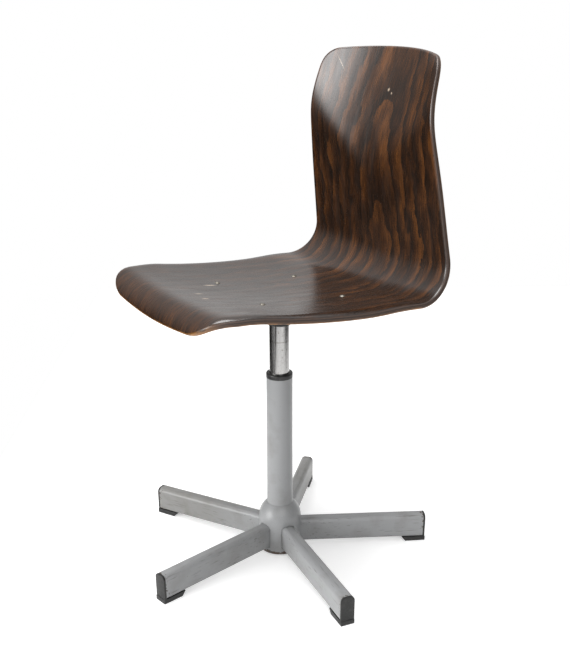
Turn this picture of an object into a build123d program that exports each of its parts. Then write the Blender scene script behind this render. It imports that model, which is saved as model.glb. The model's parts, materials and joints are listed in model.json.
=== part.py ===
"""Swivel chair: a moulded plywood shell on a telescoping column and a five-leg star.

Millimetres, +Z up, the front of the seat towards -Y. The origin is on the floor, on the column's axis.
"""
import math
import os

from build123d import *

# Star base
leg_count = 5
first_leg_angle = 63.5
star_radius = 290.0
leg_width = 26.0
leg_height = 47.0
leg_wall = 2.0
leg_top_round = 9.0
leg_bottom_round = 5.0
leg_fall = 1.3
leg_top_at_axis = 62.0
foot_plate = 4.0
foot_plug_length = 24.0
foot_plug_slack = 0.1
sole_length = 47.0
sole_chamfer = 7.0

# Hub
core_wall = 5.0
core_bottom = 6.0
core_top = 66.0
cover_diameter = 82.0
cover_wall = 2.5
cover_bottom = 3.0
cover_shoulder = 68.0
cover_top = 100.0
cover_leg_gap = 1.0
cover_column_gap = 0.3

# Column
fit = 0.06
column_diameter = 50.0
column_wall = 2.5
column_bottom = 8.0
column_top = 360.0
bright_diameter = 38.0
bright_wall = 2.0
bush_flange_height = 9.5
bush_flange_lip = 0.2
bush_flange_round = 3.0
bush_sleeve_length = 60.0
slider_length = 32.0
slider_lip = 4.0
lift_down = 70.0
lift_up = 60.0
slider_spare = 54.0

# Swivel bearing and gas spring
floor_height = 2.0
floor_thickness = 5.0
race_diameter = 24.0
race_thickness = 1.5
ball_count = 8
ball_diameter = 4.0
ball_slack = 0.04
ball_pitch_diameter = 17.0
cage_thickness = 2.4
cage_width = 7.0
cage_hole_slack = 0.1
rod_diameter = 10.0
rod_spigot_diameter = 8.0
race_bore_gap = 0.4
clip_thickness = 1.2
clip_diameter = 15.0
clip_groove_diameter = 6.4
clip_gap = 0.4
clip_slot_share = 0.7
spigot_tail = 3.0
gas_diameter = 28.0
gas_wall = 2.0
gas_bottom_gap = 8.0
gland_length = 18.0
piston_length = 14.0
piston_margin = 26.0
piston_spigot_diameter = 7.0
piston_nut_diameter = 13.0
piston_nut_length = 5.0
valve_block_length = 20.0
gas_top_gap = 6.0
centring_ring_length = 12.0
pin_diameter = 6.0
pin_sunk = 14.0
pin_tip_share = 0.45

# Seat carrier and release lever
plate_width = 196.0
plate_length = 206.0
plate_thickness = 3.0
plate_round = 18.0
plate_flange = 14.0
plate_gap = 0.3
socket_wall = 4.0
socket_grip = 24.0
column_head_room = 8.0
lever_diameter = 7.0
lever_drop = 10.0
lever_pin_gap = 0.3
lever_pivot_x = -42.0
lever_tip_x = 4.0
lever_bend_x = -72.0
lever_end_x = -166.0
lever_end_drop = 14.0
lever_bend_radius = 60.0
lever_eye_diameter = 13.0
lever_eye_width = 9.0
lever_slot_width = 13.0
lever_slot_depth = 9.0
pivot_diameter = 5.0
pivot_head = 2.0
ear_thickness = 3.0
ear_length = 16.0
ear_gap = 0.4
ear_below_pivot = 7.0
bracket_web = 2.0
grip_length = 46.0
grip_width = 22.0
grip_thickness = 11.0
grip_socket = 30.0
grip_round = 3.0

# Seat bolts
bolt_spacing_x = 160.0
bolt_spacing_y = 170.0
bolt_diameter = 6.0
bolt_hole_gap = 0.3
bolt_head_diameter = 12.4
bolt_head_height = 3.2
bolt_head_crown = 6.0
bolt_sunk = 1.0
bolt_sunk_gap = 0.4
bolt_tail = 2.0
nut_size = 10.0
nut_height = 5.0
pad_diameter = 18.0

# Shell: its centre line from the front lip to the top edge, in lengths, radii and slopes
shell_thickness = 11.0
seat_height = 525.0
seat_front = 260.5
lip_slope = 76.2
lip_length = 4.8
roll_radius = 42.3
seat_front_slope = -12.4
seat_rear_slope = 1.6
seat_length = 367.0
bend_radius = 66.5
back_slope = 97.8
back_length = 112.0
crease_radius = 230.0
top_slope = 70.6
top_length = 144.6

# Shell: half widths, and what the press adds to the plain bent sheet
lip_half_width = 189.0
front_half_width = 198.0
rear_half_width = 214.7
bend_half_width = 202.7
lumbar_half_width = 190.4
top_half_width = 163.9
seat_dish = 17.4
side_drop = 6.9
side_roll = 22.0
shield_depth = 44.5
shield_sharpness = 4.0
front_crown = 14.1
front_corner_radius = 79.4
top_corner_radius = 45.3
top_crown = 24.8
front_width_station = 20.0
lumbar_width_station = 40.0
dish_fade = 60.0
side_fade = 120.0
trim_reach = 60.0
trim_depth = 150.0


def finish(part, name):
    """Label a piece and write it."""
    part.label = name
    export_step(part, f"parts/{name}.step")


def ring(outer_diameter, inner_diameter, bottom, top):
    """A plain tube on the column's axis."""
    with BuildPart() as piece:
        with BuildSketch(Plane.XY.offset(bottom)):
            Circle(outer_diameter / 2)
            Circle(inner_diameter / 2, mode=Mode.SUBTRACT)
        extrude(amount=top - bottom)
    return piece.part


os.makedirs("parts", exist_ok=True)

# Heights in the column, from the floor disc up
floor_bottom = column_bottom + floor_height
floor_top = floor_bottom + floor_thickness
balls_bottom = floor_top + race_thickness
balls_top = balls_bottom + ball_diameter
bearing_top = balls_top + race_thickness
slider_bottom = bearing_top + lift_down + slider_spare
bright_bottom = slider_bottom + slider_lip
gas_bottom = bright_bottom + gas_bottom_gap
gland_top = gas_bottom + gland_length
piston_bottom = gland_top + lift_up + piston_margin
piston_top = piston_bottom + piston_length
column_bore = column_diameter - 2 * column_wall
bright_bore = bright_diameter - 2 * bright_wall
gas_bore = gas_diameter - 2 * gas_wall

# The shell's centre line: each run has a length, a first slope and a last slope
shell_runs = [
    (lip_length, lip_slope, lip_slope),
    (roll_radius * math.radians(lip_slope - seat_front_slope), lip_slope, seat_front_slope),
    (seat_length, seat_front_slope, seat_rear_slope),
    (bend_radius * math.radians(back_slope - seat_rear_slope), seat_rear_slope, back_slope),
    (back_length, back_slope, back_slope),
    (crease_radius * math.radians(back_slope - top_slope), back_slope, top_slope),
    (top_length, top_slope, top_slope),
]
run_ends = [sum(run[0] for run in shell_runs[: count + 1]) for count in range(len(shell_runs))]
lip_end, roll_end, seat_end, bend_end, back_end, _, shell_end = run_ends


def centre_line(distance):
    """Y, height above the lip and slope in radians, at a distance along the centre line."""
    y = -seat_front
    z = 0.0
    slope = math.radians(lip_slope)
    start = 0.0
    for length, first, last in shell_runs:
        part = min(distance - start, length)
        first = math.radians(first)
        turn = (math.radians(last) - first) / length
        slope = first + turn * part
        # A short chord of an arc, or a straight run where nothing turns
        chord = part * math.sin(turn * part / 2) / (turn * part / 2) if turn * part else part
        y += chord * math.cos(first + turn * part / 2)
        z += chord * math.sin(first + turn * part / 2)
        start += length
        if distance <= start:
            break
    return y, z, slope


def distance_on_axis():
    """Distance along the centre line at which the seat crosses the column's axis."""
    low, high = roll_end, seat_end
    for _ in range(60):
        middle = (low + high) / 2
        if centre_line(middle)[0] < 0:
            low = middle
        else:
            high = middle
    return low


axis_distance = distance_on_axis()
lip_height = seat_height - centre_line(axis_distance)[1]


def ease(share):
    """A smooth step from 0 to 1."""
    share = min(max(share, 0.0), 1.0)
    return share * share * (3 - 2 * share)


width_stations = [
    (0.0, lip_half_width),
    (roll_end + front_width_station, front_half_width),
    (seat_end, rear_half_width),
    (bend_end, bend_half_width),
    (back_end + lumbar_width_station, lumbar_half_width),
    (shell_end, top_half_width),
]


def half_width(distance):
    """Half width of the shell before its corners are rounded, as a smooth curve through the stations."""
    last = len(width_stations) - 1

    def lean(index):
        before, after = width_stations[max(index - 1, 0)], width_stations[min(index + 1, last)]
        return (after[1] - before[1]) / (after[0] - before[0])

    index = 0
    while index < last - 1 and distance > width_stations[index + 1][0]:
        index += 1
    (start, width), (end, next_width) = width_stations[index], width_stations[index + 1]
    span = end - start
    t = (distance - start) / span
    ends = width * (1 + 2 * t) * (1 - t) ** 2 + next_width * t * t * (3 - 2 * t)
    return ends + span * t * (1 - t) * (lean(index) * (1 - t) - lean(index + 1) * t)


def pressed_height(x, distance):
    """Height of the sitter's side over the centre line: seat dish, turned-down sides and back shield."""
    y, z, slope = centre_line(distance)
    width = half_width(distance)
    share = (x / width) ** 2
    bend_length = bend_end - seat_end
    in_seat = ease((distance - lip_end) / (roll_end + dish_fade - lip_end))
    in_seat *= 1 - ease((distance - seat_end + dish_fade) / (bend_length + dish_fade))
    at_side = 1 - ease((distance - seat_end + side_fade) / (bend_length + dish_fade))
    into_roll = max(abs(x) - width + side_roll, 0.0) / side_roll
    height = seat_dish * share * in_seat - side_drop * into_roll ** 2 * at_side
    if distance > back_end and x:
        # The lower back carried straight up, until the dished top takes over
        y_end, z_end, slope_end = centre_line(back_end)
        behind = (y - y_end) * math.sin(slope_end) + (z_end - z) * math.cos(slope_end)
        carried = behind / math.cos(slope - slope_end)
        dished = shield_depth * share
        power = shield_sharpness
        height += carried * dished / (carried ** power + dished ** power) ** (1 / power)
    return height


def shell_plane(distance, depth=0.0):
    """Plane square to the centre line, with X across the seat and Y towards the sitter."""
    y, z, slope = centre_line(distance)
    origin = (0, y + depth * math.sin(slope), lip_height + z - depth * math.cos(slope))
    return Plane(origin=origin, x_dir=(1, 0, 0), z_dir=(0, -math.cos(slope), -math.sin(slope)))


def face_plane(distance, depth=0.0):
    """Plane along the sheet, with X across the seat, Y along the centre line and Z towards the sitter."""
    across = shell_plane(distance, depth)
    return Plane(origin=across.origin, x_dir=(1, 0, 0), z_dir=across.y_dir)


def steps(first, last, count):
    """Evenly spaced values from the first up to, and without, the last."""
    return [first + (last - first) * index / count for index in range(count)]


# Seat carrier planes: the plate lies along the seat, just under the shell
plate_plane = face_plane(axis_distance, shell_thickness + plate_gap)
plate_under = plate_plane.offset(-plate_thickness)
under_height = plate_under.origin.Z
lever_height = under_height - lever_drop
bright_top = lever_height - lever_diameter / 2 - column_head_room
gas_top = bright_top - gas_top_gap
pin_top = lever_height - lever_diameter / 2 - lever_pin_gap
bolt_places = [
    (side_x * bolt_spacing_x / 2, side_y * bolt_spacing_y / 2) for side_y in (-1, 1) for side_x in (-1, 1)
]


def seat_over_plate(x, y):
    """Height of the sitter's side above the plate's top, at a place on the plate."""
    distance = axis_distance + y
    across = shell_plane(distance)
    top = across.from_local_coords((x, pressed_height(x, distance), 0))
    return plate_plane.to_local_coords(top).Z


def end_outline(end_half_width, crown, corner_radius, side_half_width, side_end):
    """Outline of a crowned end of the sheet with round corners, its middle at the origin."""
    with BuildSketch() as outline:
        with BuildLine():
            ThreePointArc((-end_half_width, -crown), (0, 0), (end_half_width, -crown))
            Polyline(
                (end_half_width, -crown),
                (side_half_width, -side_end),
                (side_half_width, -2 * side_end),
                (-side_half_width, -2 * side_end),
                (-side_half_width, -side_end),
                (-end_half_width, -crown),
            )
        make_face()
        fillet(outline.vertices().group_by(Axis.Y)[-1], corner_radius)
    return outline.sketch


# Seat shell: sections square to the centre line, lofted, then trimmed to its outline.
# Each stretch of the centre line has its count of sections, and each section its places across the width.
section_stretches = [(lip_end, roll_end), (roll_end, seat_end), (seat_end, bend_end), (bend_end, back_end)]
section_stretches += [(back_end, shell_end)]
section_counts = [6, 14, 7, 5, 10]
section_shares = [-1, -0.93, -0.86, -0.7, -0.5, -0.25, 0, 0.25, 0.5, 0.7, 0.86, 0.93, 1]
section_knots = [(share + 1) / 2 for share in section_shares]
section_places = [0.0]
for (first, last), count in zip(section_stretches, section_counts):
    section_places += steps(first, last, count)
section_places += [shell_end]

with BuildPart() as seat_shell:
    for place in section_places:
        edge_x = half_width(place)
        edge_z = pressed_height(edge_x, place)
        across = [share * edge_x for share in section_shares]
        sitter_side = [Vector(x, pressed_height(x, place)) for x in across]
        under_side = [spot - Vector(0, shell_thickness) for spot in sitter_side]
        with BuildSketch(shell_plane(place)):
            with BuildLine():
                add(Edge.make_spline(sitter_side, parameters=section_knots))
                add(Edge.make_spline(under_side, parameters=section_knots))
                for side in (-1, 1):
                    Line((side * edge_x, edge_z), (side * edge_x, edge_z - shell_thickness))
            make_face()
    loft()

    # Bowed front edge with round corners, cut square to the middle of the front roll
    roll_slope = math.radians((lip_slope + seat_front_slope) / 2)
    front_plane = Plane(
        origin=shell_plane(0).origin,
        x_dir=(-1, 0, 0),
        z_dir=(0, -math.sin(roll_slope), math.cos(roll_slope)),
    )
    bow_radius = (front_half_width**2 + front_crown**2) / (2 * front_crown)
    corner_x = front_half_width - front_corner_radius
    corner_depth = bow_radius - math.sqrt((bow_radius - front_corner_radius) ** 2 - corner_x**2)
    with BuildSketch(front_plane.offset(-trim_depth)):
        with Locations((0, (trim_reach - corner_depth) / 2)):
            Rectangle(2 * (front_half_width + trim_reach), trim_reach + corner_depth)
        front = end_outline(
            front_half_width, front_crown, front_corner_radius, front_half_width, 2 * front_corner_radius
        )
        add(front, mode=Mode.SUBTRACT)
    extrude(amount=2 * trim_depth, mode=Mode.SUBTRACT)

    # Crowned top edge with round corners, cut square to the top of the back
    low_half_width = half_width(shell_end - trim_reach)
    with BuildSketch(face_plane(shell_end).offset(-trim_depth)):
        Rectangle(2 * (low_half_width + trim_reach), 2 * trim_reach)
        top = end_outline(top_half_width, top_crown, top_corner_radius, low_half_width, trim_reach)
        add(top, mode=Mode.SUBTRACT)
    extrude(amount=2 * trim_depth, mode=Mode.SUBTRACT)

    # Bolt holes and the shallow seats of the bolt heads
    for x, y in bolt_places:
        with BuildSketch(plate_plane):
            with Locations((x, y)):
                Circle(bolt_diameter / 2 + bolt_hole_gap)
        extrude(amount=seat_over_plate(x, y) + bolt_head_height, mode=Mode.SUBTRACT)
        with BuildSketch(plate_plane.offset(seat_over_plate(x, y) - bolt_sunk)):
            with Locations((x, y)):
                Circle(bolt_head_diameter / 2 + bolt_sunk_gap)
        extrude(amount=bolt_head_height, mode=Mode.SUBTRACT)
finish(seat_shell.part, "seat_shell")

# Bolts, nuts and rubber pads of the shell
with BuildPart() as seat_bolts:
    for x, y in bolt_places:
        seat_top = seat_over_plate(x, y) - bolt_sunk
        shank_bottom = -plate_thickness - nut_height - bolt_tail
        with BuildSketch(plate_plane.offset(shank_bottom)):
            with Locations((x, y)):
                Circle(bolt_diameter / 2)
        extrude(amount=seat_top - shank_bottom)
        with BuildSketch(plate_plane.offset(seat_top)):
            with Locations((x, y)):
                Circle(bolt_head_diameter / 2)
        with BuildSketch(plate_plane.offset(seat_top + bolt_head_height)):
            with Locations((x, y)):
                Circle(bolt_head_crown / 2)
        loft()
finish(seat_bolts.part, "seat_bolts")

with BuildPart() as seat_nuts:
    with BuildSketch(plate_under.offset(-nut_height)):
        with Locations(*bolt_places):
            RegularPolygon(nut_size / 2, 6, major_radius=False)
            Circle(bolt_diameter / 2, mode=Mode.SUBTRACT)
    extrude(amount=nut_height)
finish(seat_nuts.part, "seat_nuts")

with BuildPart() as shell_pads:
    for x, y in bolt_places:
        with BuildSketch(plate_plane):
            with Locations((x, y)):
                Circle(pad_diameter / 2)
                Circle(bolt_diameter / 2 + bolt_hole_gap, mode=Mode.SUBTRACT)
        extrude(amount=seat_over_plate(x, y) - shell_thickness / 2)
    add(seat_shell.part, mode=Mode.SUBTRACT)
finish(shell_pads.part, "shell_pads")

# Seat plate with turned-down front and rear edges
with BuildPart() as seat_plate:
    with BuildSketch(plate_under):
        RectangleRounded(plate_width, plate_length, plate_round)
        with Locations(*bolt_places):
            Circle(bolt_diameter / 2 + bolt_hole_gap, mode=Mode.SUBTRACT)
    extrude(amount=plate_thickness)
    with BuildSketch(plate_under.offset(-plate_flange)):
        for side in (-1, 1):
            with Locations((0, side * (plate_length - plate_thickness) / 2)):
                Rectangle(plate_width - 2 * plate_round, plate_thickness)
    extrude(amount=plate_flange)
finish(seat_plate.part, "seat_plate")

# Socket for the bright tube, welded under the plate and slotted for the lever
socket_bottom = bright_top - socket_grip
with BuildPart() as seat_socket:
    with BuildSketch(Plane.XY.offset(socket_bottom)):
        Circle(bright_diameter / 2 + socket_wall)
        Circle(bright_diameter / 2, mode=Mode.SUBTRACT)
    extrude(amount=under_height + plate_flange - socket_bottom)
    with BuildSketch(Plane.XY.offset(lever_height - lever_slot_depth)):
        with Locations((-bright_diameter / 2, 0)):
            Rectangle(bright_diameter, lever_slot_width)
    extrude(amount=lever_slot_depth + lever_drop + plate_flange, mode=Mode.SUBTRACT)
    split(bisect_by=plate_under, keep=Keep.BOTTOM)
finish(seat_socket.part, "seat_socket")

# Lever bracket: a small channel under the plate, with the pivot pin through its ears
channel_width = lever_eye_width + 2 * ear_gap
bracket_width = channel_width + 2 * ear_thickness
bracket_bottom = lever_height - ear_below_pivot
with BuildPart() as lever_bracket:
    with BuildSketch(Plane.XY.offset(bracket_bottom)):
        with Locations((lever_pivot_x, 0)):
            Rectangle(ear_length, bracket_width)
    extrude(amount=under_height + plate_flange - bracket_bottom)
    with BuildSketch(Plane.XY.offset(bracket_bottom)):
        with Locations((lever_pivot_x, 0)):
            Rectangle(ear_length, channel_width)
    extrude(amount=lever_drop + ear_below_pivot - bracket_web, mode=Mode.SUBTRACT)
    with BuildSketch(Plane.XZ):
        with Locations((lever_pivot_x, lever_height)):
            Circle(pivot_diameter / 2)
    extrude(amount=bracket_width, both=True, mode=Mode.SUBTRACT)
    split(bisect_by=plate_under, keep=Keep.BOTTOM)
finish(lever_bracket.part, "lever_bracket")

with BuildPart() as lever_pivot:
    with BuildSketch(Plane.XZ):
        with Locations((lever_pivot_x, lever_height)):
            Circle(pivot_diameter / 2)
    extrude(amount=bracket_width / 2 + pivot_head, both=True)
finish(lever_pivot.part, "lever_pivot")

# Release lever: a bent rod with an eye, and a plastic grip on its end
lever_end = (lever_end_x, lever_height - lever_end_drop)
with BuildPart() as height_lever:
    with BuildLine(Plane.XZ) as lever_line:
        FilletPolyline(
            (lever_tip_x, lever_height),
            (lever_bend_x, lever_height),
            lever_end,
            radius=lever_bend_radius,
        )
    with BuildSketch(Plane(origin=lever_line.line @ 0, z_dir=lever_line.line % 0)):
        Circle(lever_diameter / 2)
    sweep()
    with BuildSketch(Plane.XZ):
        with Locations((lever_pivot_x, lever_height)):
            Circle(lever_eye_diameter / 2)
    extrude(amount=lever_eye_width / 2, both=True)
    with BuildSketch(Plane.XZ):
        with Locations((lever_pivot_x, lever_height)):
            Circle(pivot_diameter / 2 + fit)
    extrude(amount=lever_eye_width, both=True, mode=Mode.SUBTRACT)
finish(height_lever.part, "height_lever")

grip_plane = Plane(origin=lever_line.line @ 1, x_dir=(0, 1, 0), z_dir=lever_line.line % 1)
with BuildPart() as lever_grip:
    with BuildSketch(grip_plane.offset(-grip_socket)):
        SlotOverall(grip_width, grip_thickness)
    extrude(amount=grip_length)
    fillet(lever_grip.faces().sort_by(Axis.X)[0].edges(), grip_round)
    with BuildSketch(grip_plane.offset(-grip_socket)):
        Circle(lever_diameter / 2)
    extrude(amount=grip_socket, mode=Mode.SUBTRACT)
finish(lever_grip.part, "lever_grip")

# Gas spring: pressure tube with its ends, held in the bright tube by two rings
finish(ring(gas_diameter, gas_bore, gas_bottom, gas_top), "gas_cylinder")
finish(ring(gas_bore, rod_diameter + 2 * fit, gas_bottom, gland_top), "rod_gland")
finish(ring(gas_bore, pin_diameter + 2 * fit, gas_top - valve_block_length, gas_top), "valve_block")
finish(ring(bright_bore, gas_diameter, gas_bottom, gas_bottom + centring_ring_length), "cylinder_ring_lower")
finish(ring(bright_bore, gas_diameter, gas_top - centring_ring_length, gas_top), "cylinder_ring_upper")

with BuildPart() as release_pin:
    with BuildSketch(Plane.XY.offset(gas_top - pin_sunk)):
        Circle(pin_diameter / 2)
    extrude(amount=pin_top - gas_top + pin_sunk)
    fillet(release_pin.edges().group_by(Axis.Z)[-1], pin_tip_share * pin_diameter)
finish(release_pin.part, "release_pin")

# Bright tube and the plastic slider on its lower end
finish(ring(bright_diameter, bright_bore, bright_bottom, bright_top), "column_inner")

with BuildPart() as column_slider:
    with BuildSketch(Plane.XY.offset(slider_bottom)):
        Circle(column_bore / 2 - fit)
        Circle(bright_bore / 2, mode=Mode.SUBTRACT)
    extrude(amount=slider_length)
    with BuildSketch(Plane.XY.offset(bright_bottom)):
        Circle(bright_diameter / 2)
    extrude(amount=slider_length, mode=Mode.SUBTRACT)
finish(column_slider.part, "column_slider")

# Piston rod: stepped at both ends, with the piston on top and a clip under the floor disc
clip_top = floor_bottom - clip_gap
with BuildPart() as lift_rod:
    with BuildSketch(Plane.XZ):
        with BuildLine():
            Polyline(
                (0, clip_top - clip_thickness - spigot_tail),
                (rod_spigot_diameter / 2, clip_top - clip_thickness - spigot_tail),
                (rod_spigot_diameter / 2, clip_top - clip_thickness),
                (clip_groove_diameter / 2, clip_top - clip_thickness),
                (clip_groove_diameter / 2, clip_top),
                (rod_spigot_diameter / 2, clip_top),
                (rod_spigot_diameter / 2, bearing_top),
                (rod_diameter / 2, bearing_top),
                (rod_diameter / 2, piston_bottom),
                (piston_spigot_diameter / 2, piston_bottom),
                (piston_spigot_diameter / 2, piston_top + piston_nut_length),
                (0, piston_top + piston_nut_length),
                close=True,
            )
        make_face()
    revolve(axis=Axis.Z)
finish(lift_rod.part, "lift_rod")

finish(ring(gas_bore - 2 * fit, piston_spigot_diameter, piston_bottom, piston_top), "lift_piston")

with BuildPart() as piston_nut:
    with BuildSketch(Plane.XY.offset(piston_top)):
        RegularPolygon(piston_nut_diameter / 2, 6, major_radius=False)
        Circle(piston_spigot_diameter / 2, mode=Mode.SUBTRACT)
    extrude(amount=piston_nut_length)
finish(piston_nut.part, "piston_nut")

with BuildPart() as rod_clip:
    with BuildSketch(Plane.XY.offset(clip_top - clip_thickness)):
        Circle(clip_diameter / 2)
        Circle(clip_groove_diameter / 2, mode=Mode.SUBTRACT)
        with Locations((clip_diameter / 2, 0)):
            Rectangle(clip_diameter, clip_groove_diameter * clip_slot_share, mode=Mode.SUBTRACT)
    extrude(amount=clip_thickness)
finish(rod_clip.part, "rod_clip")

# Thrust bearing of the swivel
lower_bore = rod_spigot_diameter + 2 * race_bore_gap
finish(ring(race_diameter, lower_bore, floor_top, balls_bottom), "bearing_race_lower")
finish(ring(race_diameter, rod_spigot_diameter, balls_top, bearing_top), "bearing_race_upper")

ball_height = (balls_bottom + balls_top) / 2
with BuildPart() as bearing_balls:
    with Locations((0, 0, ball_height)):
        with PolarLocations(ball_pitch_diameter / 2, ball_count):
            Sphere(ball_diameter / 2 - ball_slack)
finish(bearing_balls.part, "bearing_balls")

with BuildPart() as bearing_cage:
    with BuildSketch(Plane.XY.offset(ball_height - cage_thickness / 2)):
        Circle((ball_pitch_diameter + cage_width) / 2 - cage_hole_slack)
        Circle((ball_pitch_diameter - cage_width) / 2, mode=Mode.SUBTRACT)
        with PolarLocations(ball_pitch_diameter / 2, ball_count):
            Circle(ball_diameter / 2 + cage_hole_slack, mode=Mode.SUBTRACT)
    extrude(amount=cage_thickness)
finish(bearing_cage.part, "bearing_cage")

# Outer tube with its floor disc, and the plastic bush in its mouth
finish(ring(column_diameter, column_bore, column_bottom, column_top), "column_outer")
finish(ring(column_bore, rod_spigot_diameter + 2 * fit, floor_bottom, floor_top), "column_floor")

with BuildPart() as column_bush:
    with BuildSketch(Plane.XY.offset(column_top)):
        Circle(column_diameter / 2 + bush_flange_lip)
    extrude(amount=bush_flange_height)
    fillet(column_bush.edges().group_by(Axis.Z)[-1], bush_flange_round)
    with BuildSketch(Plane.XY.offset(column_top - bush_sleeve_length)):
        Circle(column_bore / 2)
    extrude(amount=bush_sleeve_length)
    with BuildSketch(Plane.XY.offset(column_top - bush_sleeve_length)):
        Circle(bright_diameter / 2 + fit)
    extrude(amount=bush_sleeve_length + bush_flange_height, mode=Mode.SUBTRACT)
finish(column_bush.part, "column_bush")

# Hub sleeve that carries the legs
core_diameter = column_diameter + 2 * core_wall
finish(ring(core_diameter, column_diameter, core_bottom, core_top), "hub_core")


def leg_plane(angle, distance):
    """Plane across a leg, a distance out from the axis: X across the leg, Y up from its top line."""
    turn = math.radians(angle)
    fall = math.radians(leg_fall)
    outward = Vector(math.cos(turn) * math.cos(fall), math.sin(turn) * math.cos(fall), -math.sin(fall))
    across = Vector(-math.sin(turn), math.cos(turn), 0)
    return Plane(origin=Vector(0, 0, leg_top_at_axis) + outward * distance, x_dir=across, z_dir=outward)


def leg_outline(plane, grow=0.0):
    """Outline of a leg, flat-sided with a round top, grown all round."""
    height = leg_height + 2 * grow
    with BuildSketch(plane) as outline:
        with Locations((0, grow - height / 2)):
            Rectangle(leg_width + 2 * grow, height)
        fillet(outline.vertices().group_by(Axis.Y)[-1], leg_top_round + grow)
        fillet(outline.vertices().group_by(Axis.Y)[0], leg_bottom_round + grow)
    return outline.sketch


leg_angles = [first_leg_angle + 360 / leg_count * index for index in range(leg_count)]
leg_end = (star_radius - foot_plate) / math.cos(math.radians(leg_fall))

# Hub cover: a domed shell with a window for each leg
shoulder_rise = cover_top - cover_shoulder
shoulder_run = cover_diameter / 2 - column_diameter / 2
shoulder_turn = 2 * math.atan2(shoulder_run, shoulder_rise)
shoulder_radius = shoulder_rise / math.sin(shoulder_turn)


def cover_profile(inset):
    """Half section of the dome, set in from its outside by a wall."""
    radius = cover_diameter / 2 - inset
    arc_radius = shoulder_radius - inset
    turned_in = radius - arc_radius * (1 - math.cos(shoulder_turn))
    turned_up = cover_shoulder + arc_radius * math.sin(shoulder_turn)
    middle = shoulder_turn / 2
    middle_in = radius - arc_radius * (1 - math.cos(middle))
    middle_up = cover_shoulder + arc_radius * math.sin(middle)
    with BuildSketch(Plane.XZ) as profile:
        with BuildLine():
            Line((radius, cover_bottom), (radius, cover_shoulder))
            ThreePointArc((radius, cover_shoulder), (middle_in, middle_up), (turned_in, turned_up))
            Polyline((turned_in, turned_up), (0, turned_up), (0, cover_bottom), (radius, cover_bottom))
        make_face()
    return profile.sketch


with BuildPart() as hub_cover:
    revolve(cover_profile(0), axis=Axis.Z)
    revolve(cover_profile(cover_wall), axis=Axis.Z, mode=Mode.SUBTRACT)
    with BuildSketch(Plane.XY.offset(cover_bottom)):
        Circle(column_diameter / 2 + cover_column_gap)
    extrude(amount=cover_top, mode=Mode.SUBTRACT)
    for angle in leg_angles:
        window = leg_outline(leg_plane(angle, column_diameter / 2), cover_leg_gap)
        extrude(window, amount=cover_diameter / 2, mode=Mode.SUBTRACT)
finish(hub_cover.part, "hub_cover")

# Legs and feet
for index, angle in enumerate(leg_angles):
    with BuildPart() as leg:
        extrude(leg_outline(leg_plane(angle, column_diameter / 2)), amount=leg_end - column_diameter / 2)
        extrude(leg_outline(leg_plane(angle, 0), -leg_wall), amount=leg_end, mode=Mode.SUBTRACT)
        with BuildSketch(Plane.XY):
            Circle(core_diameter / 2)
        extrude(amount=cover_top, mode=Mode.SUBTRACT)
    finish(leg.part, f"leg_{index + 1}")

    # The foot closes the tube's end and stands on a sole under it
    turn = math.radians(angle)
    fall = math.radians(leg_fall)
    side_plane = Plane(
        origin=(0, 0, 0),
        x_dir=(math.cos(turn), math.sin(turn), 0),
        z_dir=(math.sin(turn), -math.cos(turn), 0),
    )
    under_axis = leg_top_at_axis - leg_height / math.cos(fall)
    sole_start = star_radius - sole_length
    with BuildPart() as foot:
        plug_start = leg_plane(angle, leg_end - foot_plug_length)
        extrude(leg_outline(plug_start, -leg_wall - foot_plug_slack), amount=foot_plug_length)
        with BuildSketch(leg_plane(angle, leg_end)) as plate:
            with Locations((0, -leg_height / 2)):
                Rectangle(leg_width, leg_height)
            fillet(plate.vertices().group_by(Axis.Y)[-1], leg_top_round)
        extrude(amount=foot_plate)
        with BuildSketch(side_plane):
            with BuildLine():
                Polyline(
                    (sole_start, under_axis - sole_start * math.tan(fall)),
                    (star_radius, under_axis - star_radius * math.tan(fall)),
                    (star_radius, 0),
                    (sole_start + sole_chamfer, 0),
                    close=True,
                )
            make_face()
        extrude(amount=leg_width / 2, both=True)
    finish(foot.part, f"foot_{index + 1}")
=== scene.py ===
"""Dresses the swivel chair: pressed plywood shell, painted star, bright column, plain pale studio."""
import json
import math

import bmesh
import bpy
from bpy.props import FloatProperty, FloatVectorProperty, IntProperty, PointerProperty
from mathutils import Matrix, Vector

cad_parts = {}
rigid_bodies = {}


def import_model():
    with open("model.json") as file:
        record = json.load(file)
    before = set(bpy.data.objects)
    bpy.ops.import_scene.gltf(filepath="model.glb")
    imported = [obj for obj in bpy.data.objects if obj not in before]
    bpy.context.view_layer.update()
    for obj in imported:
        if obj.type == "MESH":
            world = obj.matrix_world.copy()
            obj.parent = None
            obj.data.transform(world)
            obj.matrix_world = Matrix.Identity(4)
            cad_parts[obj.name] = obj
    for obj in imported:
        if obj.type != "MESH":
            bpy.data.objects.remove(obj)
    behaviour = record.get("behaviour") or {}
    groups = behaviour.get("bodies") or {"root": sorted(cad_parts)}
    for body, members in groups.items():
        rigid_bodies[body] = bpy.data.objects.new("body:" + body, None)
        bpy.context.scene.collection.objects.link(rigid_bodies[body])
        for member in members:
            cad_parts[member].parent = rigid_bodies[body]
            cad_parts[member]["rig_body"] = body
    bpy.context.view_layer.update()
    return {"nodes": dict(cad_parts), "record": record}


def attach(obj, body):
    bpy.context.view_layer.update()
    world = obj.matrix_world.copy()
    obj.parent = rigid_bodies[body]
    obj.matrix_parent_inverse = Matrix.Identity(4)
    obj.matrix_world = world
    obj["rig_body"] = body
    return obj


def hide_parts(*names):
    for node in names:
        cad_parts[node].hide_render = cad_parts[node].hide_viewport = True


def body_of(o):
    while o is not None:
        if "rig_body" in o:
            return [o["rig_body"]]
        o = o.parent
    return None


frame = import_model()

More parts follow.
